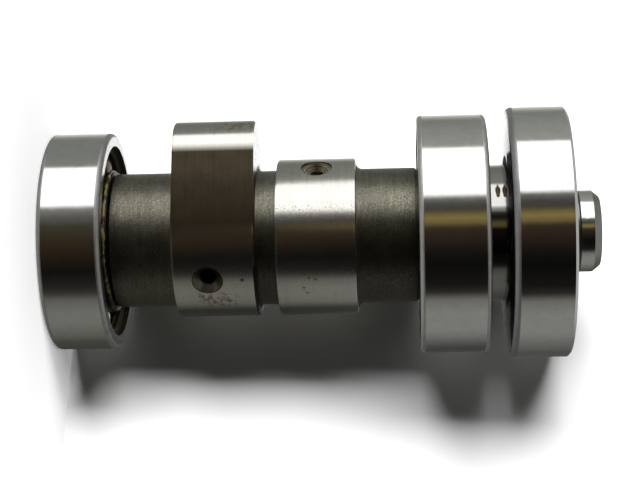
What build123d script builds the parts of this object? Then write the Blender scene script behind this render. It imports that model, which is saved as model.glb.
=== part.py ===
from build123d import *

import os
from math import cos, radians, sin, sqrt

# Camshaft of a small single-cylinder engine, with its two ball bearings and its sprocket flange.
# Millimetres. +Z runs along the shaft from the left bearing's outer face, where the origin lies
# on the axis. Angles go round +Z from +X.

# Stations along the shaft, from the origin
seat_a_end = 9.0
lobe_1_start, lobe_1_end = 18.4, 30.25
lobe_2_start, lobe_2_end = 33.3, 44.7
seat_b_start, seat_b_end = 53.7, 63.7
spigot_groove_end, spigot_end = 77.15, 80.15

# Radii of the shaft
seat_a_radius = 7.5
shaft_radius = 9.9
seat_b_radius = 8.5
spigot_radius = 6.0

# Edges and corners of the shaft
shoulder_chamfer = 0.4
seat_chamfer = 0.3
seat_undercut_width, seat_undercut_depth = 0.8, 0.25
lobe_fillet_small, lobe_fillet_large = 0.6, 1.0
spigot_groove_depth = 0.2
tip_chamfer_length, tip_chamfer_depth = 1.1, 0.9

# Cam lobes: a base circle, a nose and two nearly flat flanks that are tangent to both
base_radius = 11.5
tip_radius = 17.5
nose_radius = 6.2
flank_radius = 110.0
lobe_edge_chamfer = 0.25
lobe_1_angle, lobe_2_angle = 192.0, 90.0

# Oil supply: a gallery drilled from the left end, and a countersunk hole in each base circle
gallery_radius, gallery_depth = 2.5, 41.5
gallery_mouth_radius, gallery_mouth_depth = 3.4, 1.5
drill_point_angle = 118.0
oil_hole_radius = 1.05
oil_mouth_radius, oil_mouth_depth = 2.2, 1.15
oil_hole_1_angle, oil_hole_1_station = 301.6, 23.4
oil_hole_2_angle, oil_hole_2_station = 209.4, 39.13
oil_mouth_steps = 4

# Lathe centre in the spigot's end
centre_mouth_radius, centre_cone_depth = 2.0, 2.1
centre_pilot_radius, centre_pilot_depth = 0.8, 4.5

# Sprocket flange: a hub with two short cut marks, and a disc
hub_radius = 10.0
hub_chamfer = 0.3
disc_radius, disc_start, disc_end = 18.4, 66.6, 75.4
disc_edge_radius, disc_edge_chamfer = 1.0, 0.4
flange_bore_chamfer = 0.5
hub_mark_stations = (65.1, 66.1)
hub_mark_angle = 233.0
hub_mark_width, hub_mark_depth = 0.5, 0.5
hub_mark_cutter_radius = 2.2

# Tapped holes for the sprocket's two M6 screws, at their tapping size
screw_angles = (90.0, 270.0)
screw_circle_radius = 13.0
screw_hole_radius, screw_hole_chamfer = 2.5, 0.5

# Both bearings: what they share
ball_radius = 2.381
groove_radius = 2.476
ball_clearance = 0.05
ring_edge_radius = 0.7
bore_edge_chamfer = 0.4
lip_width, lip_groove_width = 0.5, 0.6
cage_thickness = 0.6
pocket_clearance = 0.12
cage_gap = 0.35
rivet_radius = 0.45
rivet_head_radius, rivet_head_height = 0.8, 0.35

# Each bearing: its place along the shaft, main sizes and ball count
bearings = {
    "a": dict(
        start=0.0, width=9.0, bore=7.5, outside=16.0, pitch=11.75, balls=9,
        inner_land=10.25, outer_land=13.45, lip=14.1, lip_groove=14.45,
    ),
    "b": dict(
        start=seat_b_start, width=10.0, bore=8.5, outside=17.5, pitch=13.0, balls=10,
        inner_land=11.4, outer_land=14.7, lip=15.6, lip_groove=15.95,
    ),
}


# Bodies that stand on the XY plane, centred on the Z axis
STANDING = (Align.CENTER, Align.CENTER, Align.MIN)


def turned(*outline):
    """A solid of revolution about Z. The outline is in (radius, station) points."""
    return revolve(Plane.XZ * make_face(Polyline(*outline, close=True)), axis=Axis.Z)


def polar(radius, angle):
    """The point at a radius and an angle in degrees, in the XY plane."""
    return (radius * cos(radians(angle)), radius * sin(radians(angle)))


def lobe_outline():
    """The lobe's face in the XY plane, nose towards +X, as four tangent arcs."""
    nose_centre = tip_radius - nose_radius
    to_base = flank_radius - base_radius
    to_nose = flank_radius - nose_radius
    flank_x = (nose_centre**2 - to_nose**2 + to_base**2) / (2 * nose_centre)
    flank = Vector(flank_x, -sqrt(to_base**2 - flank_x**2))
    base_end = (Vector(0, 0) - flank).normalized() * base_radius
    nose_end = Vector(nose_centre, 0) + (Vector(nose_centre, 0) - flank).normalized() * nose_radius
    flank_middle = flank + ((base_end + nose_end) * 0.5 - flank).normalized() * flank_radius

    def below(point):
        return Vector(point.X, -point.Y)

    outline = [
        ThreePointArc(below(base_end), Vector(-base_radius, 0), base_end),
        ThreePointArc(base_end, flank_middle, nose_end),
        ThreePointArc(nose_end, Vector(tip_radius, 0), below(nose_end)),
        ThreePointArc(below(nose_end), below(flank_middle), below(base_end)),
    ]
    return make_face(Curve() + outline)


def lobe(start, end, nose_angle):
    """One cam lobe with its profile edges broken by a small chamfer."""
    body = extrude(lobe_outline(), end - start)
    rims = body.edges().filter_by(lambda edge: abs(edge.tangent_at(0.5).Z) < 0.5)
    body = chamfer(rims, lobe_edge_chamfer)
    return Pos(0, 0, start) * Rot(0, 0, nose_angle) * body


def oil_hole(station, angle, mouth):
    """A radial drilling from the gallery to a lobe's base circle, opening into a mouth."""
    drilling = Pos(0, 0, base_radius / 2) * Cylinder(oil_hole_radius, base_radius)
    tool = drilling + Pos(0, 0, base_radius - oil_mouth_depth) * mouth
    return Pos(0, 0, station) * Rot(0, 0, angle) * Rot(0, 90, 0) * tool


def smooth_mouth():
    """A plain countersink, carried on past the base circle so that it cuts clear."""
    margin = 0.5
    spread = (oil_mouth_radius - oil_hole_radius) / oil_mouth_depth
    top_radius = oil_mouth_radius + spread * margin
    return Cone(oil_hole_radius, top_radius, oil_mouth_depth + margin, align=STANDING)


def stepped_mouth():
    """A countersink that was bored in steps, each a little wider than the one below."""
    rise = oil_mouth_depth / oil_mouth_steps
    spread = (oil_mouth_radius - oil_hole_radius) / oil_mouth_steps
    mouth = Part()
    for step in range(oil_mouth_steps):
        radius = oil_hole_radius + (step + 1) * spread
        height = base_radius - step * rise
        mouth += Pos(0, 0, step * rise) * Cylinder(radius, height, align=STANDING)
    return mouth


def shaft_blank():
    """The shaft without its lobes, with the fillets that lead up to the lobe faces."""
    small, large = lobe_fillet_small, lobe_fillet_large
    cut, groove = seat_undercut_depth, spigot_groove_depth
    points = [
        (0, 0),
        (seat_a_radius - seat_chamfer, 0),
        (seat_a_radius, seat_chamfer),
        (seat_a_radius, seat_a_end - seat_undercut_width),
        (seat_a_radius - cut, seat_a_end - seat_undercut_width + cut),
        (seat_a_radius - cut, seat_a_end),
        (shaft_radius - shoulder_chamfer, seat_a_end),
        (shaft_radius, seat_a_end + shoulder_chamfer),
        (shaft_radius, seat_b_start - shoulder_chamfer),
        (shaft_radius - shoulder_chamfer, seat_b_start),
        (seat_b_radius - cut, seat_b_start),
        (seat_b_radius - cut, seat_b_start + seat_undercut_width - cut),
        (seat_b_radius, seat_b_start + seat_undercut_width),
        (seat_b_radius, seat_b_end - seat_chamfer),
        (seat_b_radius - seat_chamfer, seat_b_end),
        (spigot_radius, seat_b_end),
        (spigot_radius, disc_end),
        (spigot_radius - groove, disc_end + groove),
        (spigot_radius - groove, spigot_groove_end - groove),
        (spigot_radius, spigot_groove_end),
        (spigot_radius, spigot_end - tip_chamfer_length),
        (spigot_radius - tip_chamfer_depth, spigot_end),
        (0, spigot_end),
    ]
    blank = turned(*points)
    for face, radius, side in (
        (lobe_1_start, small, -1),
        (lobe_1_end, small, 1),
        (lobe_2_start, small, -1),
        (lobe_2_end, large, 1),
    ):
        blank += corner_fillet(face, radius, side)
    return blank


def corner_fillet(face, radius, side):
    """A ring that fills the corner between the shaft and a lobe's side face."""
    foot = face + side * radius
    inside = shaft_radius - 0.5
    outline = Curve() + [
        Line((inside, face), (shaft_radius + radius, face)),
        RadiusArc((shaft_radius + radius, face), (shaft_radius, foot), side * radius),
        Line((shaft_radius, foot), (inside, foot)),
        Line((inside, foot), (inside, face)),
    ]
    return revolve(Plane.XZ * make_face(outline), axis=Axis.Z)


def drill_tip(radius):
    """Length of the cone that a twist drill leaves at the end of a hole."""
    half = radians(drill_point_angle / 2)
    return radius * cos(half) / sin(half)


def camshaft():
    body = shaft_blank()
    body += lobe(lobe_1_start, lobe_1_end, lobe_1_angle)
    body += lobe(lobe_2_start, lobe_2_end, lobe_2_angle)
    body -= turned(
        (0, 0),
        (gallery_mouth_radius, 0),
        (gallery_radius, gallery_mouth_depth),
        (gallery_radius, gallery_depth),
        (0, gallery_depth + drill_tip(gallery_radius)),
    )
    body -= oil_hole(oil_hole_1_station, oil_hole_1_angle, smooth_mouth())
    body -= oil_hole(oil_hole_2_station, oil_hole_2_angle, stepped_mouth())
    body -= turned(
        (0, spigot_end),
        (centre_mouth_radius, spigot_end),
        (centre_pilot_radius, spigot_end - centre_cone_depth),
        (centre_pilot_radius, spigot_end - centre_pilot_depth),
        (0, spigot_end - centre_pilot_depth - drill_tip(centre_pilot_radius)),
    )
    return body


def hub_mark(station):
    """The round cutter that sinks one of the two short marks into the hub."""
    reach = hub_radius + hub_mark_cutter_radius - hub_mark_depth
    cutter = Cylinder(hub_mark_cutter_radius, hub_mark_width)
    return Pos(*polar(reach, hub_mark_angle), station) * cutter


def screw_hole():
    """One tapped hole on the Z axis, right through the disc and chamfered at its right face."""
    margin = 0.5
    length = disc_end - disc_start + 2 * margin
    drilling = Pos(0, 0, disc_start - margin) * Cylinder(screw_hole_radius, length, align=STANDING)
    widest = screw_hole_radius + 2 * screw_hole_chamfer
    mouth = Cone(screw_hole_radius, widest, 2 * screw_hole_chamfer, align=STANDING)
    return drilling + Pos(0, 0, disc_end - screw_hole_chamfer) * mouth


def sprocket_flange():
    outline = Polyline(
        (spigot_radius, seat_b_end),
        (hub_radius - hub_chamfer, seat_b_end),
        (hub_radius, seat_b_end + hub_chamfer),
        (hub_radius, disc_start),
        (disc_radius, disc_start),
        (disc_radius, disc_end - disc_edge_chamfer),
        (disc_radius - disc_edge_chamfer, disc_end),
        (spigot_radius + flange_bore_chamfer, disc_end),
        (spigot_radius, disc_end - flange_bore_chamfer),
        close=True,
    )
    section = make_face(outline)
    corner = section.vertices().sort_by_distance((disc_radius, disc_start, 0))[0]
    section = fillet(corner, disc_edge_radius)
    body = revolve(Plane.XZ * section, axis=Axis.Z)
    for station in hub_mark_stations:
        body -= hub_mark(station)
    for angle in screw_angles:
        body -= Pos(*polar(screw_circle_radius, angle), 0) * screw_hole()
    return body


def ring_section(inner, outer, size):
    """The plain rectangular section of a bearing ring."""
    middle = size["start"] + size["width"] / 2
    return Pos((inner + outer) / 2, middle) * Rectangle(outer - inner, size["width"])


def inner_ring(size):
    """Inner ring: a deep groove in its outside, its bore edges chamfered."""
    middle = size["start"] + size["width"] / 2
    section = ring_section(size["bore"], size["inner_land"], size)
    section = chamfer(section.vertices().sort_by(Axis.X)[:2], bore_edge_chamfer)
    floor = size["pitch"] - ball_radius - ball_clearance
    section -= Pos(floor + groove_radius, middle) * Circle(groove_radius)
    return revolve(Plane.XZ * section, axis=Axis.Z)


def outer_ring(size):
    """Outer ring: a deep groove in its inside, and the grooved lip that a shield would snap into."""
    start, end = size["start"], size["start"] + size["width"]
    section = ring_section(size["outer_land"], size["outside"], size)
    section = fillet(section.vertices().sort_by(Axis.X)[-2:], ring_edge_radius)
    ceiling = size["pitch"] + ball_radius + ball_clearance
    section -= Pos(ceiling - groove_radius, (start + end) / 2) * Circle(groove_radius)
    for face, inward in ((start, 1), (end, -1)):
        recess = lip_width + lip_groove_width
        lip_middle = face + inward * recess / 2
        groove_middle = face + inward * (lip_width + lip_groove_width / 2)
        section -= Pos(size["lip"] - 1, lip_middle) * Rectangle(2, recess)
        section -= Pos(size["lip_groove"] - 1, groove_middle) * Rectangle(2, lip_groove_width)
    return revolve(Plane.XZ * section, axis=Axis.Z)


def ball_places(size):
    """The centres of a bearing's balls, evenly spaced round the pitch circle."""
    middle = size["start"] + size["width"] / 2
    step = 360 / size["balls"]
    return [Pos(*polar(size["pitch"], index * step), middle) for index in range(size["balls"])]


def cage_half(size, side):
    """One pressed half of the cage: flat lands with a spherical pocket over each ball."""
    middle = size["start"] + size["width"] / 2
    inner = size["inner_land"] + cage_gap
    outer = size["outer_land"] - cage_gap
    pocket = ball_radius + pocket_clearance
    crown = pocket + cage_thickness
    lands = Pos(0, 0, cage_thickness / 2) * Cylinder(outer, cage_thickness)
    band = Pos(0, 0, crown / 2) * (Cylinder(outer, crown) - Cylinder(inner, crown))
    centres = [Pos(*polar(size["pitch"], i * 360 / size["balls"])) for i in range(size["balls"])]
    body = lands
    for centre in centres:
        body += centre * Sphere(crown)
    for centre in centres:
        body -= centre * Sphere(pocket)
    body &= band
    for centre in rivet_places(size):
        body -= centre * Cylinder(rivet_radius, 4 * cage_thickness)
    if side < 0:
        body = mirror(body, about=Plane.XY)
    return Pos(0, 0, middle) * body


def rivet_places(size):
    """The rivets' places in the cage's own plane, each halfway between two balls."""
    step = 360 / size["balls"]
    return [Pos(*polar(size["pitch"], (i + 0.5) * step)) for i in range(size["balls"])]


def rivet():
    """One rivet on the Z axis, its shank between two domed heads."""
    dome_radius = (rivet_head_radius**2 + rivet_head_height**2) / (2 * rivet_head_height)
    dome = Pos(0, 0, cage_thickness + rivet_head_height - dome_radius) * Sphere(dome_radius)
    head = split(dome, bisect_by=Plane.XY.offset(cage_thickness), keep=Keep.TOP)
    return Cylinder(rivet_radius, 2 * cage_thickness) + head + mirror(head, about=Plane.XY)


def cage_rivets(size):
    """All of one cage's rivets, as a group of separate solids."""
    middle = size["start"] + size["width"] / 2
    return Compound([Pos(0, 0, middle) * place * rivet() for place in rivet_places(size)])


def write(node, shape):
    export_step(shape, f"parts/{node}.step")


os.makedirs("parts", exist_ok=True)
write("camshaft", camshaft())
write("sprocket_flange", sprocket_flange())
for letter, size in bearings.items():
    write(f"outer_ring_{letter}", outer_ring(size))
    write(f"inner_ring_{letter}", inner_ring(size))
    write(f"cage_{letter}_left", cage_half(size, -1))
    write(f"cage_{letter}_right", cage_half(size, 1))
    write(f"cage_rivets_{letter}", cage_rivets(size))
    for number, place in enumerate(ball_places(size), start=1):
        write(f"ball_{letter}_{number}", place * Sphere(ball_radius))
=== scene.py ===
import math

import bmesh
import bpy
from mathutils import Matrix, Vector, noise


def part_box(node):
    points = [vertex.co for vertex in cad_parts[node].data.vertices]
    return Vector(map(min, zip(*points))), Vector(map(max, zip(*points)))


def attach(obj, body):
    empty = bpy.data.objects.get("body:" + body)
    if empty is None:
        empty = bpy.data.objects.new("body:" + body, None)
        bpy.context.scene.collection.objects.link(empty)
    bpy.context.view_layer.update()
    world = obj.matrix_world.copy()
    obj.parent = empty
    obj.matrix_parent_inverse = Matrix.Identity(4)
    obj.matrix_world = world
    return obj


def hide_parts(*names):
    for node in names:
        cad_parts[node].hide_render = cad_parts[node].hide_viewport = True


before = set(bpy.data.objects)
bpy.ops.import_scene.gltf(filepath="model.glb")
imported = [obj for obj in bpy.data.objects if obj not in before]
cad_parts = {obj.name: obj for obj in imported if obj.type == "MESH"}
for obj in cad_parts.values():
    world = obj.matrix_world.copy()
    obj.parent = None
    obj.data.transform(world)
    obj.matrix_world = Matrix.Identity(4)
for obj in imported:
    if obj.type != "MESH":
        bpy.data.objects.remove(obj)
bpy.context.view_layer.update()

# Millimetre, in the frame's metres
MM = 0.001

# The photograph's camera: it looks along +Y with the shaft lying across the picture, +Z to the right
FOCAL_PIXELS = 1668
PICTURE_WIDTH = 640
SENSOR_WIDTH = 36
CAMERA_DISTANCE = 247 * MM
CAMERA_STATION = 51.13 * MM
CAMERA_DROP = 0.52 * MM
CAMERA_SWING = math.radians(2.775)
CAMERA_ROLL = math.radians(1.222)

# The table that the photograph shows the camshaft on stands behind it here, as a leaning backdrop.
# Angles go round +Z from +X. The table touches bearing A and the flange, at these distances from
# the axis and heights.
TABLE_ANGLE = math.radians(60)
TABLE_TOUCHES = ((16.0 * MM, 4.5 * MM), (18.4 * MM, 71.5 * MM))
# How far the floor and the table reach, and the floor's level, just clear of bearing A
SHEET_REACH = 3.0
FLOOR_LEVEL = -0.05 * MM
# The sheets' paper, and its shade at the foot of the table beside bearing A
PAPER, SHADED_PAPER = (0.9, 0.9, 0.9), (0.47, 0.47, 0.47)
BESIDE_BEARING_A = (16 * MM, 9.3 * MM, 0)
# How much the floor glows for the camera, as painted light: clear of the table's foot, and more far away.
# Beside the foot it is left darker, a painted shade
FLOOR_GLOW, FAR_FLOOR_GLOW = 0.4, 0.5

# The lamps, in metres and watts. The table lamp is 1 m from the shaft, and higher than the point it
# is aimed at.
LIT_POINT = Vector((0, 0, 40 * MM))
TABLE_LAMP_ANGLE, TABLE_LAMP_RISE = math.radians(216), 0.12
TABLE_LAMP_SIZES, TABLE_LAMP_ENERGY = (0.5, 0.9), 22
TOP_LAMP_PLACE = Vector((0.02, 0.17, 1.2))
TOP_LAMP_SIZES, TOP_LAMP_ENERGY = (0.6,), 6

# The camshaft, in millimetres and degrees as it is built
BASE_RADIUS, TIP_RADIUS, NOSE_RADIUS, FLANK_RADIUS = 11.5, 17.5, 6.2, 110.0
# Each lobe's first and last station and the angle of its nose
LOBES = ((18.4, 30.25, 192.0), (33.3, 44.7, 90.0))
# Radii beyond which metal is a lobe's side, and a lobe's ground surface
LOBE_SIDE_RADIUS, LOBE_SKIN_RADIUS = 10.7, 11.1
# Stations where bearing A ends and bearing B begins, and where the marks rubbed before B end
SHOULDER_A, SHOULDER_B, RUBBED_END = 9.0, 53.7, 53.4
# Each oil hole's station and angle
OIL_HOLES = ((23.4, 301.6), (39.13, 209.4))
OIL_HOLE_RADIUS, OIL_MOUTH_RADIUS, COUNTERSINK_STEP = 1.05, 2.2, 0.34
TIP_LAND_START, TIP_LAND_END = 77.15, 79.05

# The flange, in millimetres and degrees as it is built
HUB_RADIUS, DISC_RADIUS = 10.0, 18.4
DISC_START, DISC_END = 66.6, 75.4
HUB_MARKS, HUB_MARK_ANGLE, HUB_MARK_HALF_LENGTH = (65.1, 66.1), 233.0, 1.2
SCREW_ANGLES, SCREW_CIRCLE_RADIUS, SCREW_RADIUS, SCREW_PITCH = (90, 270), 13.0, 2.5, 1.0

# Each bearing's middle station, width and outside radius, the side that faces the lobes, the radii
# of its balls' circle and its inner ring's land, the tone of its corners, and the painted shade on its
# underside
BEARINGS = {
    "a": {
        "middle": 4.5,
        "width": 9.0,
        "outside": 16.0,
        "inward": 1,
        "pitch": 11.75,
        "inner_land": 10.25,
        "corners": (0.38, 0.38, 0.37),
        "painted_underside_shade": (0.85, 0.85, 0.83),
    },
    "b": {
        "middle": 58.7,
        "width": 10.0,
        "outside": 17.5,
        "inward": -1,
        "pitch": 13.0,
        "inner_land": 11.4,
        "corners": (0.52, 0.52, 0.5),
        "painted_underside_shade": (0.36, 0.36, 0.34),
    },
}
BALL_RADIUS = 2.381
# Distances off a bearing's middle of the painted highlight lines inside its outer ring
BRIGHT_LINES = (3.3, 2.5, 1.9)
# The grease beads' radius, the sizes of their lumps, and how far in from a bearing's faces they lie
# on the lobes' side and on the other
GREASE_RADIUS = 0.34
BIG_LUMP, SMALL_LUMP = 2.6, 0.6
GREASE_INSET_INWARD, GREASE_INSET_OUTWARD = 0.42, 0.62

# Colours that several pieces share
POLISHED_STEEL = (0.6, 0.6, 0.58)
PIT_DIRT = (0.1, 0.085, 0.07)


class Wire:
    """An output of a node, whose arithmetic adds Math nodes."""

    def __init__(self, tree, socket):
        self.tree, self.socket = tree, socket

    def maths(self, operation, *others):
        return self.tree.node("ShaderNodeMath", {"operation": operation}, [self, *others])

    def __add__(self, other):
        return self.maths("ADD", other)

    __radd__ = __add__

    def __sub__(self, other):
        return self.maths("SUBTRACT", other)

    def __rsub__(self, other):
        return self.tree.node("ShaderNodeMath", {"operation": "SUBTRACT"}, [other, self])

    def __mul__(self, other):
        return self.maths("MULTIPLY", other)

    __rmul__ = __mul__

    def __truediv__(self, other):
        return self.maths("DIVIDE", other)

    def __neg__(self):
        return self * -1

    def above(self, edge, soft=0.04):
        """1 where the value is over the edge, 0 under it, with a soft step between."""
        settings = {"operation": "MULTIPLY_ADD", "use_clamp": True}
        return self.tree.node("ShaderNodeMath", settings, [self, 1 / soft, 0.5 - edge / soft])

    def below(self, edge, soft=0.04):
        return 1 - self.above(edge, soft)

    def between(self, low, high, soft=0.04):
        return self.above(low, soft) * self.below(high, soft)

    def out(self, name):
        """Another output of the same node."""
        return Wire(self.tree, self.socket.node.outputs[name])


class Tree:
    """Builds the nodes of one material or world."""

    def __init__(self, owner):
        owner.use_nodes = True
        self.nodes, self.links = owner.node_tree.nodes, owner.node_tree.links
        self.nodes.clear()

    def node(self, kind, settings, values, output=0):
        """Adds a node. Settings come first, then values or links, listed or by socket name."""
        made = self.nodes.new(kind)
        for name, setting in settings.items():
            if name == "stops":
                self.set_stops(made.color_ramp, setting)
            else:
                setattr(made, name, setting)
        pairs = values.items() if isinstance(values, dict) else enumerate(values)
        for key, value in pairs:
            if isinstance(value, Wire):
                self.links.new(value.socket, made.inputs[key])
            elif value is not None:
                made.inputs[key].default_value = value
        return Wire(self, made.outputs[output]) if made.outputs else made

    def set_stops(self, ramp, stops):
        """Puts a ramp's stops, listed from low to high as position and colour."""
        elements = ramp.elements
        while len(elements) < len(stops):
            elements.new(0.5)
        for element, (position, _) in zip(elements, stops):
            element.position = position
        for element, (_, colour) in zip(elements, stops):
            element.color = (*colour, 1)

    def mix(self, factor, first, second):
        """A colour between two others."""
        values = {0: factor, 6: as_colour(first), 7: as_colour(second)}
        return self.node("ShaderNodeMix", {"data_type": "RGBA"}, values, output=2)

    def tinted(self, colour, strength):
        """A colour made darker or lighter by a value round 1."""
        settings = {"data_type": "RGBA", "blend_type": "MULTIPLY"}
        grey = self.node("ShaderNodeCombineXYZ", {}, [strength, strength, strength])
        return self.node("ShaderNodeMix", settings, {0: 1.0, 6: as_colour(colour), 7: grey}, output=2)

    def vector(self, operation, *values, scale=None):
        made = self.node("ShaderNodeVectorMath", {"operation": operation}, list(values))
        if scale is not None:
            made.socket.node.inputs["Scale"].default_value = scale
        return made

    def join(self, x, y, z):
        return self.node("ShaderNodeCombineXYZ", {}, [x, y, z])

    def noise(self, vector, scale, detail=2.0, output=0):
        values = {"Vector": vector, "Scale": scale, "Detail": detail}
        return self.node("ShaderNodeTexNoise", {}, values, output)


def as_colour(colour):
    """A colour for a socket, with its alpha unless it is linked."""
    return colour if isinstance(colour, Wire) else (*colour, 1)


def make_camera():
    """The camera at the photograph's place and angle."""
    swing, roll = CAMERA_SWING, CAMERA_ROLL
    across = Vector((0, math.sin(swing), math.cos(swing)))
    forward = Vector((0, math.cos(swing), -math.sin(swing)))
    rise = Vector((-1, 0, 0))
    right = math.cos(roll) * across - math.sin(roll) * rise
    up = math.sin(roll) * across + math.cos(roll) * rise
    data = bpy.data.cameras.new("camera")
    data.sensor_width = SENSOR_WIDTH
    data.lens = SENSOR_WIDTH * FOCAL_PIXELS / PICTURE_WIDTH
    data.clip_start, data.clip_end = 0.01, 50
    camera = bpy.data.objects.new("camera", data)
    turn = Matrix((right, up, -forward)).transposed().to_4x4()
    camera.matrix_world = Matrix.Translation((CAMERA_DROP, -CAMERA_DISTANCE, CAMERA_STATION)) @ turn
    bpy.context.collection.objects.link(camera)
    bpy.context.scene.camera = camera


# The room as the metal mirrors it, by the angle round the shaft from the photograph's camera (-Y)
# towards the picture's top (-X): degrees and colour. The first list is what lies a little to the
# picture's left, the second what lies to its right. Behind the shaft both are the same.
ROOM_BRIGHTEST = 2.2
WINDOW = (ROOM_BRIGHTEST, ROOM_BRIGHTEST, ROOM_BRIGHTEST)
ROOM_BEHIND = (
    (152, (0.5, 0.5, 0.46)),
    (160, (0.7, 0.7, 0.66)),
    (170, (1.1, 1.1, 1.08)),
    (180, (1.7, 1.7, 1.7)),
)
ROOM_LEFT = (
    (-180, (0.035, 0.035, 0.03)),
    (-133, (0.09, 0.09, 0.08)),
    (-121, (0.15, 0.15, 0.13)),
    (-94, (0.24, 0.24, 0.22)),
    (-80, (0.24, 0.24, 0.22)),
    (-65, (0.18, 0.175, 0.155)),
    (-56, (0.05, 0.048, 0.044)),
    (-49, (0.024, 0.023, 0.021)),
    (-32, (0.0075, 0.007, 0.006)),
    (-18, (0.02, 0.014, 0.009)),
    (0, (0.045, 0.03, 0.017)),
    (16, (0.062, 0.058, 0.04)),
    (26, (0.15, 0.145, 0.13)),
    (35, (0.28, 0.28, 0.26)),
    (40, WINDOW),
    (83, WINDOW),
    (86, (0.3, 0.31, 0.29)),
    (140, (0.25, 0.26, 0.24)),
    (146, (0.33, 0.34, 0.3)),
    *ROOM_BEHIND,
)
ROOM_RIGHT = (
    (-180, (0.09, 0.085, 0.08)),
    (-145, (0.1, 0.1, 0.095)),
    (-122, (0.2, 0.2, 0.19)),
    (-105, (0.3, 0.3, 0.29)),
    (-80, (0.31, 0.31, 0.29)),
    (-66, (0.23, 0.225, 0.21)),
    (-58, (0.035, 0.033, 0.03)),
    (-50, (0.012, 0.011, 0.01)),
    (-30, (0.005, 0.005, 0.005)),
    (-18, (0.011, 0.009, 0.008)),
    (-6, (0.03, 0.02, 0.015)),
    (6, (0.05, 0.036, 0.023)),
    (9.5, (0.2, 0.15, 0.055)),
    (14.5, (0.32, 0.25, 0.085)),
    (18, (0.22, 0.18, 0.065)),
    (22, (0.08, 0.072, 0.055)),
    (28, (0.085, 0.08, 0.075)),
    (34, (0.2, 0.2, 0.185)),
    (39, WINDOW),
    (88, WINDOW),
    (91, (0.44, 0.45, 0.42)),
    (112, (0.37, 0.38, 0.355)),
    (140, (0.26, 0.27, 0.25)),
    (146, (0.34, 0.35, 0.31)),
    *ROOM_BEHIND,
)
# Sine of the height at which the second list's colours take over from the first's
SIDES_MEET, SIDES_BLEND = -0.045, 0.05
# Sines of the heights over and under the photograph's level where the bands fade, and where the
# pale ceiling and floor begin
BANDS_FADE, BANDS_FADE_BLEND, BANDS_FADE_SHARE = 0.34, 0.12, 0.65
CEILING_BEGINS, CEILING_BLEND = 0.62, 0.3
BETWEEN_COLOUR, CEILING_COLOUR = (0.13, 0.13, 0.126), (0.5, 0.5, 0.49)
# How strongly the room lights matt surfaces
ROOM_ON_MATT = 0.02


def room_band(tree, colours, place):
    """The room's colour at a place from 0 to 1 round the shaft."""
    stops = [
        (degrees / 360 + 0.5, tuple(channel / ROOM_BRIGHTEST for channel in colour))
        for degrees, colour in colours
    ]
    band = tree.node("ShaderNodeValToRGB", {"stops": stops}, [place])
    return tree.tinted(band, ROOM_BRIGHTEST)


def make_world():
    """The room, which the metal mirrors, and plain white where the camera sees past the sheets."""
    world = bpy.data.worlds.new("world")
    bpy.context.scene.world = world
    tree = Tree(world)
    direction = tree.node("ShaderNodeSeparateXYZ", {}, [tree.node("ShaderNodeTexCoord", {}, [])])
    x, y, z = direction, direction.out("Y"), direction.out("Z")
    place = (-x).maths("ARCTAN2", -y) / (2 * math.pi) + 0.5
    left = room_band(tree, ROOM_LEFT, place)
    right = room_band(tree, ROOM_RIGHT, place)
    level = tree.mix(z.above(SIDES_MEET, SIDES_BLEND), left, right)
    height = z.maths("ABSOLUTE")
    faded = tree.mix(BANDS_FADE_SHARE, level, BETWEEN_COLOUR)
    seen = tree.mix(height.above(BANDS_FADE, BANDS_FADE_BLEND), level, faded)
    seen = tree.mix(height.above(CEILING_BEGINS, CEILING_BLEND), seen, CEILING_COLOUR)
    seen_light = tree.node("ShaderNodeBackground", {}, {"Color": seen, "Strength": 1.0})
    white = tree.node("ShaderNodeBackground", {}, {"Color": (1, 1, 1, 1), "Strength": 1.0})
    dim = tree.node("ShaderNodeBackground", {}, {"Color": (1, 1, 1, 1), "Strength": ROOM_ON_MATT})
    path = tree.node("ShaderNodeLightPath", {}, [])
    glossy = path.out("Is Glossy Ray").maths("MAXIMUM", path.out("Is Transmission Ray"))
    lit = tree.node("ShaderNodeMixShader", {}, [glossy, dim, seen_light])
    shown = tree.node("ShaderNodeMixShader", {}, [path.out("Is Camera Ray"), lit, white])
    tree.node("ShaderNodeOutputWorld", {}, {"Surface": shown})
    world.cycles.sampling_method = "NONE"


def add_sheet(name, corners, material):
    """A flat four-cornered sheet for the stage, which the metal doesn't mirror."""
    mesh = bpy.data.meshes.new(name)
    shape = bmesh.new()
    shape.faces.new([shape.verts.new(corner) for corner in corners])
    shape.to_mesh(mesh)
    shape.free()
    mesh.materials.append(material)
    sheet = bpy.data.objects.new(name, mesh)
    bpy.context.collection.objects.link(sheet)
    sheet.visible_glossy = False
    sheet.visible_diffuse = False
    sheet.visible_shadow = False


def pale_floor():
    """Matt white paper that shows a soft shadow. Away from the table's foot it glows a little as painted
    light, and beside the foot it is left darker as painted shade.
    """
    material = bpy.data.materials.new("floor")
    tree = Tree(material)
    paint = tree.node("ShaderNodeBsdfDiffuse", {}, {"Color": as_colour(PAPER)})
    seen = tree.node("ShaderNodeLightPath", {}, []).out("Is Camera Ray")
    place = tree.node("ShaderNodeTexCoord", {}, [], "Object")
    foot = TABLE_TOUCHES[0][0]
    corner = (foot * math.cos(TABLE_ANGLE), foot * math.sin(TABLE_ANGLE), 0)
    clear_of_corner = tree.vector("DISTANCE", place, corner).out("Value").above(18 * MM, 10 * MM)
    far_away = tree.vector("LENGTH", place).out("Value").above(800 * MM, 1000 * MM)
    # Painted light and shade: a glow the camera sees, left out beside the table's foot
    strength = seen * (clear_of_corner * FLOOR_GLOW + far_away * FAR_FLOOR_GLOW)
    glow = tree.node("ShaderNodeEmission", {}, {"Color": (1, 1, 1, 1), "Strength": strength})
    show_from_front(tree, tree.node("ShaderNodeAddShader", {}, [paint, glow]))
    return material


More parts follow.
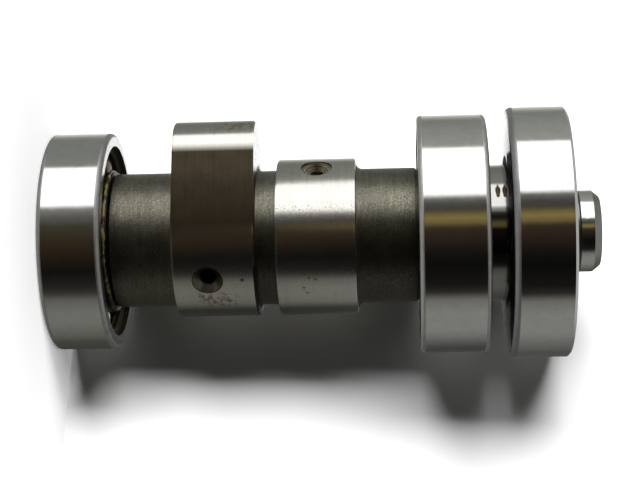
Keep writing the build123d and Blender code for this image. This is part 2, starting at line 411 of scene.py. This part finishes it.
def table_paper():
    """Matt white paper, its foot shaded beside bearing A."""
    material = bpy.data.materials.new("table")
    tree = Tree(material)
    place = tree.node("ShaderNodeTexCoord", {}, [], "Object")
    near = tree.vector("DISTANCE", place, BESIDE_BEARING_A).out("Value").below(6.3 * MM, 4 * MM)
    height = tree.node("ShaderNodeSeparateXYZ", {}, [place]).out("Z")
    shade = near * height.below(0.9 * MM, 0.9 * MM)
    paper = tree.mix(shade, PAPER, SHADED_PAPER)
    show_from_front(tree, tree.node("ShaderNodeBsdfDiffuse", {}, {"Color": paper}))
    return material


def show_from_front(tree, shader):
    """Ends a sheet's material clear from behind, so that it hides nothing in other views."""
    clear = tree.node("ShaderNodeBsdfTransparent", {}, [])
    side = tree.node("ShaderNodeNewGeometry", {}, []).out("Backfacing")
    shown = tree.node("ShaderNodeMixShader", {}, [side, shader, clear])
    tree.node("ShaderNodeOutputMaterial", {}, {"Surface": shown})


def make_stage():
    """The floor, and the table that bearing A and the flange lean on."""
    reach = SHEET_REACH
    quarters = ((-reach, -reach), (reach, -reach), (reach, reach), (-reach, reach))
    add_sheet("floor", [(x, y, FLOOR_LEVEL) for x, y in quarters], pale_floor())
    outward = Vector((math.cos(TABLE_ANGLE), math.sin(TABLE_ANGLE), 0))
    along = Vector((-outward.y, outward.x, 0))
    (near, low), (far, high) = TABLE_TOUCHES
    slope = (far - near) / (high - low)
    corners = []
    for side, height in ((1, 0.0), (-1, 0.0), (-1, reach), (1, reach)):
        distance = near + (height - low) * slope
        corners.append(outward * distance + along * side * reach + Vector((0, 0, height)))
    add_sheet("table", corners, table_paper())


def add_lamp(name, shape, sizes, energy, place):
    """A soft lamp, aimed at the camshaft, that the metal doesn't mirror."""
    data = bpy.data.lights.new(name, "AREA")
    data.shape = shape
    data.size = sizes[0]
    if len(sizes) > 1:
        data.size_y = sizes[1]
    data.energy = energy
    lamp = bpy.data.objects.new(name, data)
    lamp.location = place
    lamp.rotation_mode = "QUATERNION"
    lamp.rotation_quaternion = (place - LIT_POINT).to_track_quat("Z", "Y")
    lamp.visible_glossy = False
    lamp.visible_camera = False
    bpy.context.collection.objects.link(lamp)


def make_lamps():
    away = Vector((math.cos(TABLE_LAMP_ANGLE), math.sin(TABLE_LAMP_ANGLE), TABLE_LAMP_RISE))
    add_lamp("table_lamp", "RECTANGLE", TABLE_LAMP_SIZES, TABLE_LAMP_ENERGY, LIT_POINT + away)
    add_lamp("top_lamp", "DISK", TOP_LAMP_SIZES, TOP_LAMP_ENERGY, TOP_LAMP_PLACE)


class Spot:
    """Where a material is being shaded: millimetres in the frame, and which way the metal faces."""

    def __init__(self, tree):
        self.tree = tree
        given = tree.node("ShaderNodeTexCoord", {}, [], "Object")
        self.place = tree.vector("SCALE", given, scale=1 / MM)
        split = tree.node("ShaderNodeSeparateXYZ", {}, [self.place])
        self.x, self.y, self.station = split, split.out("Y"), split.out("Z")
        self.radius = (self.x * self.x + self.y * self.y).maths("SQRT")
        self.facing = given.out("Normal")
        split = tree.node("ShaderNodeSeparateXYZ", {}, [self.facing])
        self.facing_x, self.facing_y, self.facing_z = split, split.out("Y"), split.out("Z")
        self.lean = self.facing_z.maths("ABSOLUTE")

    def off_the_axis(self):
        """Across the shaft: away from its axis, or towards it in a bore."""
        side = (self.facing_x * self.x + self.facing_y * self.y).maths("SIGN")
        return side * self.x / self.radius, side * self.y / self.radius

    def off_a_lobe(self, nose_angle):
        """Across the shaft: square to the profile of a lobe whose nose points at an angle."""
        nose_centre = TIP_RADIUS - NOSE_RADIUS
        to_base, to_nose = FLANK_RADIUS - BASE_RADIUS, FLANK_RADIUS - NOSE_RADIUS
        flank_along = (nose_centre**2 - to_nose**2 + to_base**2) / (2 * nose_centre)
        flank_across = -math.sqrt(to_base**2 - flank_along**2)
        base_end = math.atan2(-flank_across, -flank_along)
        nose_end = math.atan2(-flank_across, nose_centre - flank_along)
        turn = math.radians(nose_angle)
        cos, sin = math.cos(turn), math.sin(turn)
        along = self.x * cos + self.y * sin
        across = self.y * cos - self.x * sin
        width = across.maths("ABSOLUTE")
        past_nose = (along - nose_centre) * math.sin(nose_end) - width * math.cos(nose_end)
        past_base = width * math.cos(base_end) - along * math.sin(base_end)
        nose, base = past_nose.above(0), past_base.above(0)
        flank = 1 - nose - base
        from_along = along - nose * nose_centre - flank * flank_along
        from_across = (width - flank * flank_across) * across.maths("SIGN")
        length = (from_along * from_along + from_across * from_across).maths("SQRT")
        from_along, from_across = from_along / length, from_across / length
        return from_along * cos - from_across * sin, from_along * sin + from_across * cos

    def off_hole(self, station, angle):
        """How far off the axis of a radial hole, and how far out along it."""
        turn = math.radians(angle)
        across = self.y * math.cos(turn) - self.x * math.sin(turn)
        along = self.station - station
        outward = self.x * math.cos(turn) + self.y * math.sin(turn)
        return (across * across + along * along).maths("SQRT"), outward

    def off_point(self, point):
        return self.tree.vector("DISTANCE", self.place, point).out("Value")

    def lines(self, pitch, reach):
        """Fine lines round the shaft, each fading out after a reach, from 0 to 1."""
        stretched = self.tree.join(self.x / reach, self.y / reach, self.station / pitch)
        return self.tree.noise(stretched, 1.0, detail=3.0)

    def grain(self, size, detail=2.0):
        return self.tree.noise(self.place, 1 / size, detail)

    def shake(self, size, amount):
        """A small random vector that roughens a normal."""
        colour = self.tree.noise(self.place, 1 / size, 2.0, "Color")
        centred = self.tree.vector("SUBTRACT", colour, (0.5, 0.5, 0.5))
        return self.tree.vector("SCALE", centred, scale=amount)

    def normal(self, across, shake, flatten=None):
        """The normal with the facets' steps smoothed away round the shaft, then roughened.

        Where flatten is 1 a chamfer is shaded like the round beside it.
        """
        along = self.facing_z if flatten is None else self.facing_z * (1 - flatten)
        reach = (1 - along * along).maths("SQRT")
        smooth = self.tree.join(across[0] * reach, across[1] * reach, along)
        return self.tree.vector("NORMALIZE", self.tree.vector("ADD", smooth, shake))


class Finish:
    """Colour and roughness of a metal, over which further finishes are laid by masks."""

    def __init__(self, tree, colour, roughness):
        self.tree, self.colour, self.roughness = tree, colour, roughness

    def lay(self, mask, colour, roughness):
        self.colour = self.tree.mix(mask, self.colour, colour)
        self.roughness = self.roughness + mask * (roughness - self.roughness)

    def darken(self, mask, colour):
        """Multiplies by a colour where the mask is 1."""
        settings = {"data_type": "RGBA", "blend_type": "MULTIPLY"}
        values = {0: mask, 6: self.colour, 7: as_colour(colour)}
        self.colour = self.tree.node("ShaderNodeMix", settings, values, output=2)


def blend(mask, first, second):
    """A value between two others, as Tree.mix gives for colours."""
    return first + mask * (second - first)


def metal(name, paint):
    """A metal material. Its paint gives a finish and a normal in the piece's own axes."""
    material = bpy.data.materials.new(name)
    tree = Tree(material)
    finish, normal = paint(tree, Spot(tree))
    settings = {"vector_type": "NORMAL", "convert_from": "OBJECT", "convert_to": "WORLD"}
    turned = tree.node("ShaderNodeVectorTransform", settings, [normal])
    values = {
        "Base Color": finish.colour,
        "Metallic": 1.0,
        "Roughness": finish.roughness,
        "Normal": turned,
    }
    shader = tree.node("ShaderNodeBsdfPrincipled", {}, values)
    tree.node("ShaderNodeOutputMaterial", {}, {"Surface": shader})
    return material


# Colours on the turned shaft, the painted shade in the crevice at bearing A, and the painted shade that
# darkens the shaft underneath, left and right
DULL_STEEL, SCRATCHED_STEEL = (0.135, 0.13, 0.1), (0.33, 0.31, 0.25)
LIGHT_SPECK, DARK_SPECK = (0.3, 0.28, 0.22), (0.06, 0.056, 0.045)
RUBBED_STEEL, WORN_STEEL = (0.36, 0.34, 0.3), (0.36, 0.33, 0.25)
CREVICE_SHADE = (0.02, 0.018, 0.015)
LEFT_SHADE, RIGHT_SHADE = (0.75, 0.75, 0.75), (0.5, 0.5, 0.5)
# Colours on the ground lobes and on their milled sides, with the painted shade under the lobes, in a band
# on the second lobe and towards the neck
GROUND_STEEL, LOBE_SHADE = (0.5, 0.49, 0.455), (0.36, 0.36, 0.34)
THICK_VARNISH, THIN_VARNISH = (0.068, 0.057, 0.037), (0.2, 0.16, 0.115)
RED_STAIN, NOSE_STAIN, LOBE_PIT = (0.5, 0.38, 0.33), (0.7, 0.58, 0.42), (0.12, 0.11, 0.09)
OIL_SPOT, PAINTED_SHADE_BAND = (0.5, 0.42, 0.3), (0.82, 0.77, 0.86)
MILLED_STEEL, SIDE_SPECK, NECK_SHADE = (0.72, 0.71, 0.69), (0.1, 0.095, 0.08), (0.03, 0.028, 0.025)
# Colours of the pilot spigot and of the oil holes, whose bores are black as painted shade
GROOVE_STEEL, LAND_STEEL, TIP_STEEL = (0.2, 0.2, 0.2), (0.6, 0.6, 0.57), (0.27, 0.27, 0.255)
OLIVE_COUNTERSINK, BRIGHT_COUNTERSINK = (0.09, 0.085, 0.058), (0.6, 0.56, 0.44)
COUNTERSINK_RIM, BORE_SHADE = (0.06, 0.055, 0.045), (0.012, 0.012, 0.01)


def turned_shaft(tree, spot, lines, mottle):
    """The finish of the dull turned shaft."""
    tone = 0.3 + lines * 0.5 + mottle * 0.9
    finish = Finish(tree, tree.tinted(DULL_STEEL, tone), 0.34 + mottle * 0.16)
    streaks = spot.lines(0.13, 3).above(0.6, 0.14) * spot.grain(1.3, 3.0).above(0.45, 0.2)
    finish.lay(streaks * 0.35, SCRATCHED_STEEL, 0.3)
    light_specks = spot.grain(0.19, 1.0).above(0.6, 0.08)
    finish.lay(light_specks * 0.5, LIGHT_SPECK, 0.3)
    dark_specks = spot.grain(0.25, 1.0).below(0.38, 0.1)
    finish.lay(dark_specks * 0.3, DARK_SPECK, 0.4)
    # Painted shade: a dark line in the crevice at bearing A's shoulder
    shade_at_bearing = spot.station.between(SHOULDER_A - 0.1, SHOULDER_A + 0.12, 0.06)
    finish.lay(shade_at_bearing, CREVICE_SHADE, 0.8)

    rubbed = spot.station.between(45.6, RUBBED_END) * spot.x.between(4.9, 7, 0.6) * spot.y.below(-4, 1)
    finish.lay(rubbed * spot.grain(0.7, 4.0).above(0.59, 0.08) * 0.4, RUBBED_STEEL, 0.3)

    worn = spot.station.between(49, RUBBED_END, 2) * spot.x.between(-6.6, -3, 2) * spot.y.below(-4, 1)
    finish.lay(worn * spot.grain(0.3, 3.0).above(0.55, 0.1) * 0.3, WORN_STEEL, 0.28)

    # Painted shade: the shaft darker underneath, more so right of the first lobe
    under = spot.x.above(-3.5, 3) * spot.station.above(SHOULDER_A + 0.3)
    finish.darken(under, tree.mix(spot.station.above(30), LEFT_SHADE, RIGHT_SHADE))
    return finish


def find_lobes(spot):
    """Where the lobes' ground surfaces are, and the smooth normal across the shaft everywhere."""
    on_lobes, across = 0, spot.off_the_axis()
    for start, end, nose_angle in LOBES:
        on_lobe = spot.station.between(start - 0.01, end + 0.01, 0.02)
        on_lobe = on_lobe * spot.radius.above(LOBE_SKIN_RADIUS, 0.04)
        square = spot.off_a_lobe(nose_angle)
        across = [blend(on_lobe, now, then) for now, then in zip(across, square)]
        on_lobes = on_lobe + on_lobes
    return on_lobes, across


def lay_ground_cams(tree, spot, finish, on_lobes, cam_lines, mottle):
    """Fine grinding lines and speckle round the lobes, with painted shade underneath."""
    speckle = spot.grain(0.24)
    tone = 0.7 + cam_lines * 0.22 + mottle * 0.16 + speckle * 0.2
    roughness = 0.125 + cam_lines * 0.01 + speckle * 0.1
    finish.lay(on_lobes, tree.tinted(GROUND_STEEL, tone), roughness)
    # Painted shade: the lobes darker underneath
    finish.darken(on_lobes * spot.x.above(9.9, 0.9), LOBE_SHADE)


def lay_first_lobe_stains(tree, spot, finish, cam_lines, mottle):
    """Brown varnish of old oil on the front flank, and stains on the base circle and the nose."""
    start, end, _ = LOBES[0]
    flank = spot.station.between(start, end) * spot.y.below(-5, 2)
    flank = flank * spot.x.above(-13.2, 1.2) * spot.x.below(-0.9, 3) * spot.radius.above(LOBE_SKIN_RADIUS)
    varnish = tree.mix(spot.x.above(-8, 8), THICK_VARNISH, THIN_VARNISH)
    finish.darken(flank, tree.tinted(varnish, 0.65 + cam_lines * 0.35 + mottle * 0.35))

    stain = spot.station.between(21.4, 27.2, 1.6) * spot.x.between(7.9, 9.7, 0.8) * spot.y.below(-5, 1)
    finish.darken(stain * spot.grain(0.7, 3.0).above(0.53, 0.1), RED_STAIN)
    pit = (spot.off_point((5.97, -9.83, 28.4)) + spot.grain(0.4) * 0.3).below(0.42, 0.25)
    finish.lay(pit, LOBE_PIT, 0.5)
    stain = spot.station.between(25.5, 30.4, 2) * spot.x.below(-15.7, 0.8)
    finish.darken(stain * spot.grain(0.8, 3.0).above(0.5, 0.2), NOSE_STAIN)


def lay_second_lobe_stains_and_shade(spot, finish):
    """A row of oil spots, a band of painted shade under it that dims the reflection there, and a few
    small pits.
    """
    start, end, _ = LOBES[1]
    front = spot.station.between(start, end) * spot.y.below(-5, 1)
    old_oil = front * spot.x.between(-4.9, -3.7, 0.6) * spot.grain(0.22).above(0.63, 0.1)
    finish.darken(old_oil, OIL_SPOT)
    # Painted shade: a band under the oil spots, dimming the reflection
    finish.darken(front * spot.x.between(-2.6, -0.3, 1), PAINTED_SHADE_BAND)
    for place in ((7.3, -8.9, 37.15), (8.06, -8.2, 37.6), (5.9, -9.87, 37.9), (6.1, -9.75, 38.9)):
        pit = (spot.off_point(place) + spot.grain(0.4) * 0.3).below(0.36, 0.2)
        finish.lay(pit * 0.65, PIT_DIRT, 0.5)


def lay_lobe_sides(tree, spot, finish):
    """Milled sides, speckled, the first lobe's right side painted dark towards the neck as painted shade.
    """
    sides = spot.lean.above(0.8, 0.1) * spot.radius.above(LOBE_SIDE_RADIUS, 0.3)
    tone = 0.6 + spot.grain(0.5, 3.0) * 0.8
    finish.lay(sides, tree.tinted(MILLED_STEEL, tone), 0.26)
    finish.lay(sides * spot.grain(0.3, 1.0).below(0.35, 0.06), SIDE_SPECK, 0.5)
    face, chamfer = spot.lean.above(0.85, 0.1), spot.lean.above(0.3, 0.1)
    # Painted shade: the first lobe's right side and chamfer dark towards the neck, low and in front
    painted_shade_at_neck = (face * spot.x.above(-9.5, 2)).maths("MAXIMUM", chamfer * spot.x.above(3, 3))
    painted_shade_at_neck = painted_shade_at_neck * spot.station.between(29.5, 31) * spot.y.below(3, 3) * spot.radius.above(10, 0.3)
    finish.lay(painted_shade_at_neck, NECK_SHADE, 0.45)


def lay_spigot(tree, spot, finish, mottle):
    """The pilot spigot: a dark groove, a polished land and a plain chamfer."""
    finish.lay(spot.station.above(DISC_END - 0.1), GROOVE_STEEL, 0.3)
    finish.lay(spot.station.above(TIP_LAND_START), LAND_STEEL, 0.12)
    chamfer = tree.tinted(TIP_STEEL, 0.6 + mottle * 0.8)
    finish.lay(spot.station.above(TIP_LAND_END), chamfer, 0.36)


def lay_oil_holes(tree, spot, finish):
    """Countersinks, the second brighter and stepped, and bores painted black as shade. Returns where they
    are.
    """
    inside = 0
    countersinks = (OLIVE_COUNTERSINK, 0), (BRIGHT_COUNTERSINK, 0.5)
    for (station, angle), (colour, step) in zip(OIL_HOLES, countersinks):
        off, outward = spot.off_hole(station, angle)
        mouth = off.below(OIL_MOUTH_RADIUS + 0.05) * outward.above(3, 1)
        rings = 1 + (off * (2 * math.pi / COUNTERSINK_STEP)).maths("SINE") * step
        finish.lay(mouth, tree.tinted(colour, (0.5 + spot.grain(0.5, 2.0)) * rings), 0.3)
        finish.lay(mouth * off.above(OIL_MOUTH_RADIUS - 0.1, 0.08), COUNTERSINK_RIM, 0.4)
        # Painted shade: the bores black down inside
        bore = off.below(OIL_HOLE_RADIUS + 0.16 * (1 - step), 0.1) * outward.below(11 - 2.4 * step, 0.3)
        finish.lay(mouth * bore, BORE_SHADE, 0.5)
        inside = mouth + inside
    return inside


def paint_camshaft(tree, spot):
    """Dull turned shaft, ground lobes, and what time has left on them."""
    lines, mottle = spot.lines(0.45, 14), spot.grain(2.2, 4.0)
    finish = turned_shaft(tree, spot, lines, mottle)
    cam_lines = spot.lines(0.22, 40)
    on_lobes, across = find_lobes(spot)
    lay_ground_cams(tree, spot, finish, on_lobes, cam_lines, mottle)
    lay_first_lobe_stains(tree, spot, finish, cam_lines, mottle)
    specks = on_lobes * spot.x.above(4, 2) * spot.grain(0.2, 1.0).above(0.7, 0.06)
    finish.lay(specks * 0.4, PIT_DIRT, 0.5)
    lay_second_lobe_stains_and_shade(spot, finish)
    lay_lobe_sides(tree, spot, finish)
    lay_spigot(tree, spot, finish, mottle)
    inside = lay_oil_holes(tree, spot, finish)

    # Turning marks tilt the normal along the shaft, and the dull stretches are rough all ways
    off_lobes = 1 - on_lobes
    ripple = tree.join(0, 0, (lines - 0.5) * 0.12 * off_lobes + (cam_lines - 0.5) * 0.012 * on_lobes)
    shake = tree.vector("MULTIPLY", spot.shake(0.2, 0.12), tree.join(off_lobes, off_lobes, off_lobes))
    shake = tree.vector("ADD", shake, tree.vector("ADD", spot.shake(0.4, 0.015), ripple))
    chamfers = spot.lean.between(0.05, 0.93, 0.04) * spot.station.between(12, SHOULDER_B + 0.02, 0.02)
    smooth = spot.normal(across, shake, chamfers * 0.85)
    return finish, tree.mix(inside, smooth, spot.facing)


# Colours of the flange's hub, and the painted shade that darkens it low down and between its highlights
HUB_STEEL = (0.38, 0.38, 0.36)
HUB_SHADE, HUB_MIDDLE_SHADE = (0.62, 0.62, 0.6), (0.4, 0.4, 0.4)
MARK_BURR, MARK_FLOOR = (0.02, 0.016, 0.016), (0.06, 0.04, 0.018)
# Colours of its disc and screw holes, and the painted shade on the disc's left face
LEFT_EDGE_STEEL, RIGHT_EDGE_STEEL = (0.36, 0.36, 0.36), (0.72, 0.72, 0.72)
FACE_STEEL, FACE_PIT, DISC_FACE_SHADE = (0.66, 0.66, 0.64), (0.06, 0.06, 0.055), (0.006, 0.006, 0.006)
THREAD_STEEL = (0.3, 0.3, 0.28)


def lay_hub(spot, finish):
    """The turned hub, with painted shade in its lower part and between its highlights. Returns where it
    is.
    """
    hub = spot.radius.below(HUB_RADIUS + 0.05)
    finish.lay(hub, HUB_STEEL, 0.1)
    # Painted shade: the hub darker low down, and between its highlights
    finish.darken(hub * spot.x.above(-3.7, 0.4), HUB_SHADE)
    middle = spot.x.between(-3.6, 3, 0.5) - spot.x.between(-1.9, -0.7, 0.4)
    finish.darken(hub * middle, HUB_MIDDLE_SHADE)
    return hub


def lay_disc(tree, spot, finish, mottle):
    """The disc's turned edges and faces, its left face painted black as shade towards the hub and over
    its front.
    """
    edges = spot.lean.between(0.08, 0.86, 0.04) * spot.radius.above(DISC_RADIUS - 1.1)
    finish.lay(edges, tree.tinted(LEFT_EDGE_STEEL, 0.8 + mottle * 0.4), 0.5)
    finish.lay(edges * spot.station.above(DISC_END - 0.6), RIGHT_EDGE_STEEL, 0.25)
    faces = spot.lean.above(0.86, 0.04) * (1 - edges)
    face_lines = tree.noise(tree.join(spot.radius * 3, 0, 0), 1.0, 3.0)
    finish.lay(faces, tree.tinted(FACE_STEEL, 0.6 + face_lines * 0.4 + mottle * 0.4), 0.24)
    pits = faces * spot.grain(0.26, 1.0).below(0.31, 0.06)
    finish.lay(pits, FACE_PIT, 0.4)
    # Painted shade: the left face black towards the hub, and over its front except near the top
    under = spot.y.below(-6, 2) * spot.x.above(-11.2, 0.6)
    corner = spot.radius.below(11.3, 0.3).maths("MAXIMUM", under)
    finish.lay(faces * spot.station.below(DISC_START + 0.1) * corner, DISC_FACE_SHADE, 0.6)


def lay_hub_marks(spot, finish, hub):
    """Two cut marks in the hub, dark with a brown floor."""
    turn = math.radians(HUB_MARK_ANGLE)
    off_middle = (spot.y * math.cos(turn) - spot.x * math.sin(turn)).maths("ABSOLUTE")
    ahead = (spot.x * math.cos(turn) + spot.y * math.sin(turn)).above(8, 0.5)
    for station in HUB_MARKS:
        beside = (spot.station - station).maths("ABSOLUTE")
        bulge = 1 - off_middle * off_middle / HUB_MARK_HALF_LENGTH**2
        burr = (bulge * 0.36 - beside).above(0, 0.08) * ahead * hub
        finish.lay(burr, MARK_BURR, 0.4)
        floor = (bulge * 0.2 - beside).above(0.03, 0.06) * spot.radius.below(HUB_RADIUS - 0.15, 0.1)
        finish.lay(floor * burr, MARK_FLOOR, 0.3)


def find_screw_holes(tree, spot):
    """Where the screw holes' walls are."""
    threads = 0
    for angle in SCREW_ANGLES:
        turn = math.radians(angle)
        centre = (SCREW_CIRCLE_RADIUS * math.cos(turn), SCREW_CIRCLE_RADIUS * math.sin(turn), 0)
        flat = tree.vector("MULTIPLY", spot.place, (1, 1, 0))
        off = tree.vector("DISTANCE", flat, centre).out("Value")
        threads = off.below(SCREW_RADIUS + 0.1) * spot.lean.below(0.5) + threads
    return threads


def paint_flange(tree, spot):
    """Polished rim, turned hub, edges and faces, and threaded holes."""
    lines, mottle = spot.lines(0.2, 30), spot.grain(1.2, 4.0)
    finish = Finish(tree, tree.tinted(POLISHED_STEEL, 0.9 + mottle * 0.2), 0.06 + mottle * 0.05)
    hub = lay_hub(spot, finish)
    lay_disc(tree, spot, finish, mottle)
    lay_hub_marks(spot, finish, hub)

    # Threads in the screw holes, as waves of colour and of the normal
    threads = find_screw_holes(tree, spot)
    wave = (spot.station * (2 * math.pi / SCREW_PITCH)).maths("SINE")
    finish.lay(threads, tree.tinted(THREAD_STEEL, 0.6 + wave * 0.4), 0.3)

    ripple = tree.join(0, 0, (lines - 0.5) * 0.03)
    smooth = spot.normal(spot.off_the_axis(), tree.vector("ADD", spot.shake(0.3, 0.016), ripple))
    threaded = tree.vector("NORMALIZE", tree.vector("ADD", spot.facing, tree.join(0, 0, wave * 0.6)))
    return finish, tree.mix(threads, smooth, threaded)


# Colours of the bearings' rings and the painted shade low on their faces; inside, old oil that is thin or
# thick and also painted shade, and painted highlight lines
RING_FACE_STEEL, RING_FACE_SPECK = (0.54, 0.54, 0.52), (0.1, 0.1, 0.09)
RING_FACE_SHADE = (0.4, 0.4, 0.4)
THIN_OIL_AND_SHADE, THICK_OIL_AND_SHADE, HIGHLIGHT_LINE = (0.045, 0.04, 0.034), (0.11, 0.095, 0.06), (0.5, 0.48, 0.4)
# Colours of the balls, the cages and the grease
BALL_STEEL, OILY_STEEL, BALL_SHADE = (0.5, 0.5, 0.48), (0.2, 0.17, 0.1), (0.2, 0.17, 0.12)
CAGE_STEEL, GREASY_STEEL, CAGE_SPECK = (0.34, 0.32, 0.27), (0.2, 0.16, 0.08), (0.3, 0.27, 0.2)
DARK_GREASE, AMBER_GREASE = (0.016, 0.012, 0.006), (0.16, 0.135, 0.045)


def ring_paint(bearing):
    """The paint for both rings of a bearing."""
    outside, inner_land = bearing["outside"], bearing["inner_land"]

    def paint(tree, spot):
        lines, mottle = spot.lines(0.25, 30), spot.grain(1.4, 4.0)
        tone, roughness = 0.9 + mottle * 0.2, 0.085 + mottle * 0.05
        finish = Finish(tree, tree.tinted(POLISHED_STEEL, tone), roughness)
        # Painted shade: the outer ring darker low down on its front
        finish.darken(spot.x.above(outside - 1.5, 2.4) * spot.y.below(0, 3), bearing["painted_underside_shade"])

        # Turned corners, matt and a little rubbed, and ground faces
        past_middle = spot.station - bearing["middle"]
        off_middle = past_middle.maths("ABSOLUTE")
        edges = spot.lean.between(0.08, 0.97, 0.04)
        finish.lay(edges, tree.tinted(bearing["corners"], 0.75 + mottle * 0.5), 0.5)
        faces = spot.lean.above(0.97, 0.02)
        face_tone = 0.55 + spot.grain(0.35, 2.0) * 0.9
        finish.lay(faces, tree.tinted(RING_FACE_STEEL, face_tone), 0.24)
        # Painted shade: the faces darker low down
        finish.darken(faces * spot.x.above(6, 5), RING_FACE_SHADE)
        finish.lay(faces * spot.grain(0.3, 1.0).below(0.36, 0.06), RING_FACE_SPECK, 0.4)

        # Races and lands inside, and the inner ring's shoulder on the lobes' side, dark with old oil and
        # with painted shade
        inside = off_middle.below(bearing["width"] / 2 - 0.03, 0.02) * spot.radius.below(outside - 1.2)
        oil_and_shade = tree.mix(spot.grain(1.8, 4.0).above(0.5, 0.3), THIN_OIL_AND_SHADE, THICK_OIL_AND_SHADE)
        lobes_side = (past_middle * bearing["inward"]).above(0)
        oily_and_shaded = inside.maths("MAXIMUM", spot.radius.below(inner_land + 0.3) * lobes_side)
        finish.lay(oily_and_shaded, oil_and_shade, 0.42)
        # Painted highlight: light lines inside the outer ring
        for height in BRIGHT_LINES:
            line = off_middle.between(height, height + 0.12, 0.06) * spot.radius.above(bearing["pitch"])
            finish.lay(oily_and_shaded * line, HIGHLIGHT_LINE, 0.3)

        shake = tree.vector("ADD", spot.shake(0.3, 0.016), tree.join(0, 0, (lines - 0.5) * 0.03))
        return finish, spot.normal(spot.off_the_axis(), shake)

    return paint


def paint_ball(tree, spot):
    """Mirror steel with patches of oil."""
    film = spot.grain(1.1, 3.0).above(0.55, 0.2)
    finish = Finish(tree, tree.mix(film, BALL_STEEL, OILY_STEEL), 0.06 + film * 0.25)
    # Painted shade: the balls darker towards the bottom
    finish.darken(spot.x.above(5, 3), BALL_SHADE)
    shake = spot.shake(0.6, 0.03)
    return finish, tree.vector("NORMALIZE", tree.vector("ADD", spot.facing, shake))


def paint_cage(tree, spot):
    """Pressed sheet steel under a film of yellow-brown grease."""
    film = spot.grain(1.6, 4.0).above(0.48, 0.25)
    finish = Finish(tree, tree.mix(film, CAGE_STEEL, GREASY_STEEL), 0.24 + film * 0.2)
    finish.darken(spot.grain(0.4, 1.0).below(0.38, 0.08), CAGE_SPECK)
    shake = spot.shake(0.5, 0.12)
    return finish, tree.vector("NORMALIZE", tree.vector("ADD", spot.facing, shake))


def grease():
    """Old amber grease: a dark wet dielectric."""
    material = bpy.data.materials.new("grease")
    tree = Tree(material)
    spot = Spot(tree)
    patches = spot.grain(1.7, 4.0).above(0.54, 0.16)
    amber = tree.tinted(AMBER_GREASE, 0.4 + spot.grain(0.4))
    colour = tree.mix(patches, DARK_GREASE, amber)
    values = {"Base Color": colour, "Roughness": 0.2 + spot.x.above(5, 4) * 0.5, "IOR": 1.48}
    shader = tree.node("ShaderNodeBsdfPrincipled", {}, values)
    tree.node("ShaderNodeOutputMaterial", {}, {"Surface": shader})
    return material


def make_grease(letter, side, material):
    """A lumpy bead of grease on the shoulder of an inner ring."""
    bearing = BEARINGS[letter]
    inset = GREASE_INSET_INWARD if side == bearing["inward"] else GREASE_INSET_OUTWARD
    station = bearing["middle"] + side * (bearing["width"] / 2 - inset)
    core = bearing["inner_land"]
    shape = bmesh.new()
    turn = Matrix.Translation((core * MM, 0, station * MM)) @ Matrix.Rotation(math.pi / 2, 4, "X")
    bmesh.ops.create_circle(shape, segments=10, radius=GREASE_RADIUS * MM, matrix=turn)
    round_axis = {"cent": (0, 0, 0), "axis": (0, 0, 1), "angle": 2 * math.pi, "steps": 260}
    bmesh.ops.spin(shape, geom=shape.verts[:] + shape.edges[:], use_merge=True, **round_axis)
    for vertex in shape.verts:
        out = Vector((vertex.co.x, vertex.co.y, 0)).normalized() * core * MM
        middle = out + Vector((0, 0, station * MM))
        big = noise.noise(vertex.co / (BIG_LUMP * MM))
        small = noise.noise(vertex.co / (SMALL_LUMP * MM))
        thickness = max(0.2, 0.85 + (big + small * 0.6) * 0.8)
        vertex.co = middle + (vertex.co - middle) * thickness
    bmesh.ops.recalc_face_normals(shape, faces=shape.faces)
    end = "right" if side > 0 else "left"
    add_piece(f"grease_{letter}_{end}", shape, "camshaft", material)


def dress(nodes, material):
    """Gives CAD nodes one material of their own."""
    for name in nodes:
        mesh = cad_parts[name].data
        mesh.materials.clear()
        mesh.materials.append(material)


def add_piece(name, shape, body, material):
    """Makes an object of a bmesh, smooth all over, that rides on a body."""
    mesh = bpy.data.meshes.new(name)
    for face in shape.faces:
        face.smooth = True
    shape.to_mesh(mesh)
    shape.free()
    mesh.materials.append(material)
    piece = bpy.data.objects.new(name, mesh)
    bpy.context.collection.objects.link(piece)
    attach(piece, body)
    return piece


def make_balls():
    """True spheres, because the solids' facets would show in their mirror finish."""
    material = metal("ball", paint_ball)
    for name in [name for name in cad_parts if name.startswith("ball_")]:
        low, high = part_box(name)
        shape = bmesh.new()
        bmesh.ops.create_icosphere(shape, subdivisions=5, radius=BALL_RADIUS * MM)
        bmesh.ops.translate(shape, verts=shape.verts, vec=(Vector(low) + Vector(high)) / 2)
        ball = add_piece(f"{name}_polished", shape, name, material)
        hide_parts(name)


make_camera()
make_world()
make_stage()
make_lamps()
bpy.context.scene.view_settings.view_transform = "Standard"

dress(["camshaft"], metal("camshaft", paint_camshaft))
dress(["sprocket_flange"], metal("flange", paint_flange))
cage_metal = metal("cage", paint_cage)
for letter, bearing in BEARINGS.items():
    rings = [f"outer_ring_{letter}", f"inner_ring_{letter}"]
    dress(rings, metal(f"rings_{letter}", ring_paint(bearing)))
    dress([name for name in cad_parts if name.startswith(f"cage_{letter}")], cage_metal)
    dress([f"cage_rivets_{letter}"], cage_metal)
make_balls()
grease_film = grease()
for letter in BEARINGS:
    for side in (-1, 1):
        make_grease(letter, side, grease_film)
